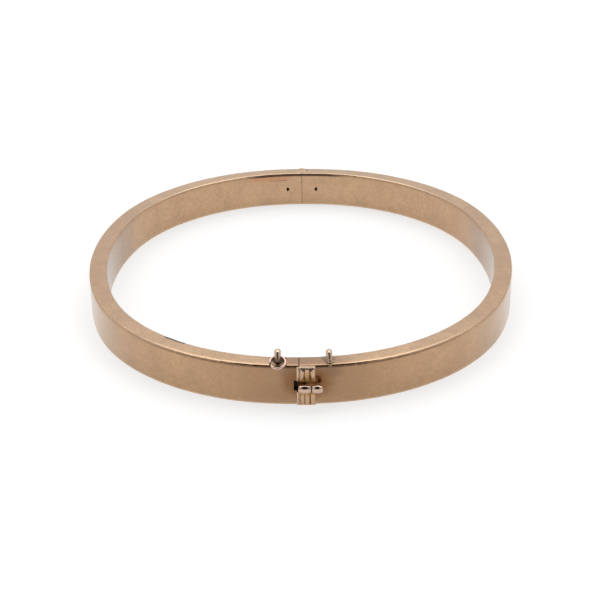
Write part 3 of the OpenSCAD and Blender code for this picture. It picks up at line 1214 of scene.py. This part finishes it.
def bar_grime(at):
    """Where the bar is dark: in the joint between its barrels."""
    return at.x.near(THUMB_X + THUMB_LENGTHS[0], 0.14, 0.05) * 0.6


# Camera, light and floor


CAMERA_AWAY = 185.22
CAMERA_ELEVATION = 27.134
CAMERA_ROLL = 0.816
CAMERA_LENS = 81.33
OBJECT_TURN = -0.75
OBJECT_SHIFT = (0.17, 4.2323)
CAMERA_RISE = 0.03
SENSOR_W = 36


def make_camera():
    """Camera as in the photograph: the fit turned and moved the bangle, so this does the reverse."""
    rise, roll = math.radians(CAMERA_ELEVATION), math.radians(CAMERA_ROLL)
    up_slope = Vector((0, math.sin(rise), math.cos(rise)))
    right = math.cos(roll) * Vector((1, 0, 0)) - math.sin(roll) * up_slope
    up = math.sin(roll) * Vector((1, 0, 0)) + math.cos(roll) * up_slope
    back = right.cross(up)
    facing = Matrix((right, up, back)).transposed().to_4x4()
    stand = CAMERA_AWAY * Vector((0, -math.cos(rise), math.sin(rise)))
    to_fit = shift(*OBJECT_SHIFT) @ turn(OBJECT_TURN, "Z") @ shift(0, -centre_y)
    place = to_fit.inverted() @ Matrix.Translation(stand) @ facing
    camera = bpy.data.objects.new("camera", bpy.data.cameras.new("camera"))
    place.translation += CAMERA_RISE * place.to_3x3().col[1]
    place.translation *= MM
    camera.matrix_world = place
    camera.data.lens = CAMERA_LENS
    camera.data.sensor_width = SENSOR_W
    camera.data.clip_start = 0.005
    bpy.context.scene.collection.objects.link(camera)
    bpy.context.scene.camera = camera


LOW_SKY = 0.8
BACK_SKY = 1.3
BACK_ELEVATION = 72
BACK_REACH = (0.78, 0.97)
SHADE_ELEVATION = 61
SHADE_SIZE = (24, 38)
SHADE_DEPTH = 0.98


def make_light():
    """White room, brighter at the back overhead, with a dark place in it above the camera."""
    world = bpy.data.worlds.new("white room")
    bpy.context.scene.world = world
    world.use_nodes = True
    paint = Paint(world.node_tree)
    facing = paint.node("TexCoord", {}, output="Generated")
    rise = math.radians(BACK_ELEVATION)
    back = paint.dot(facing, (0, math.cos(rise), math.sin(rise))).rise(*BACK_REACH)
    rise = math.radians(SHADE_ELEVATION)
    reach = [1 / math.sin(math.radians(size)) for size in SHADE_SIZE]
    across = paint.node("SeparateXYZ", {}, {0: facing}, output="X") * reach[0]
    upward = paint.dot(facing, (0, math.sin(rise) * reach[1], math.cos(rise) * reach[1]))
    ahead = paint.dot(facing, (0, -math.cos(rise), math.sin(rise))).rise(0, 0.1)
    shade = (across * across + upward * upward).rise(1.3, 0.8) * ahead
    strength = (back * BACK_SKY + LOW_SKY) * (1 - shade * SHADE_DEPTH)
    background = paint.node("Background", {}, {"Color": (1, 1, 1), "Strength": strength})
    paint.node("OutputWorld", {}, {"Surface": background})


FLOOR_SIZE = 3
FLOOR_WHITE = (0.46, 0.462, 0.465)
FLOOR_GLOW = 0.64


def make_floor():
    """Plain white floor."""
    half = FLOOR_SIZE / 2
    mesh = bpy.data.meshes.new("floor")
    corners = [(-half, -half, 0), (half, -half, 0), (half, half, 0), (-half, half, 0)]
    mesh.from_pydata(corners, [], [(0, 1, 2, 3)])
    floor = bpy.data.objects.new("floor", mesh)
    bpy.context.scene.collection.objects.link(floor)
    material, paint = new_material("white floor")
    shader = paint.node("BsdfPrincipled", {}, {
        "Base Color": FLOOR_WHITE, "Roughness": 0.6,
        "Emission Color": (1, 1, 1), "Emission Strength": FLOOR_GLOW,
    })
    paint.node("OutputMaterial", {}, {"Surface": shader})
    mesh.materials.append(material)


# Everything in its place


def main():
    """Makes the pieces, the camera, the light and the floor."""
    band_gold = satin_gold()
    ear_reflections_and_grime = (ear_leg_reflection, EAR_REFLECTED_BROWN, 0.6), (ear_grime_and_reflection, SOOT_AND_SHADE_BLACK, 0.9)
    ear_gold = wire_gold("soldered wire gold", EAR_GOLD, 0.14, 0.4, *ear_reflections_and_grime)
    rib_stains_and_painted_light = (rib_tarnish_and_reflection, TARNISH_AND_REFLECTION, 0.7), (rib_grime_and_shade, GRIME_AND_SHADE, 0.6)
    rib_contrasts = (rib_groove_shadow, SOOT_AND_SHADE_BLACK, 1), (rib_wear_and_highlight, RUBBED_HIGHLIGHT, 0)
    rib_gold = wire_gold("reeded gold", RIB_GOLD, 0.15, 0.5, *rib_stains_and_painted_light, *rib_contrasts)
    spring_stain_and_shade = (post_stain, RUST, 0.3), (leaf_painted_shade, SHADE_BLACK, 1)
    spring_gold = wire_gold("spring gold", SPRING_GOLD, 0.25, 0.3, *spring_stain_and_shade)
    thumb_gold = wire_gold("rubbed gold", THUMB_GOLD, 0.07, 0.2, (bar_grime, GRIME_AND_SHADE, 0.5))
    ring_gold = wire_gold("pink wire gold", RING_GOLD, 0.1, 0.3, (ring_joint, SOOT_AND_SHADE_BLACK, 1))
    pin_gold = wire_gold("drawn gold", PIN_GOLD, 0.3, 0.2)

    left_band(band_gold)
    right_band(band_gold)
    ear("left", "left", ear_gold)
    ear("right", "right", ear_gold)
    strip(STRIP_END, mid_z - STRIP_GAP / 2, "reeding_lower", rib_gold)
    strip(mid_z + STRIP_GAP / 2, band_h - STRIP_END, "reeding_upper", rib_gold)
    tongue(spring_gold)
    thumb_piece(spring_gold, thumb_gold)
    jump_ring(ring_gold)
    pin = frame["nodes"]["hinge_pin"]
    pin.data.materials.clear()
    pin.data.materials.append(pin_gold)

    make_camera()
    make_light()
    make_floor()
    bpy.context.scene.view_settings.view_transform = "Standard"


main()
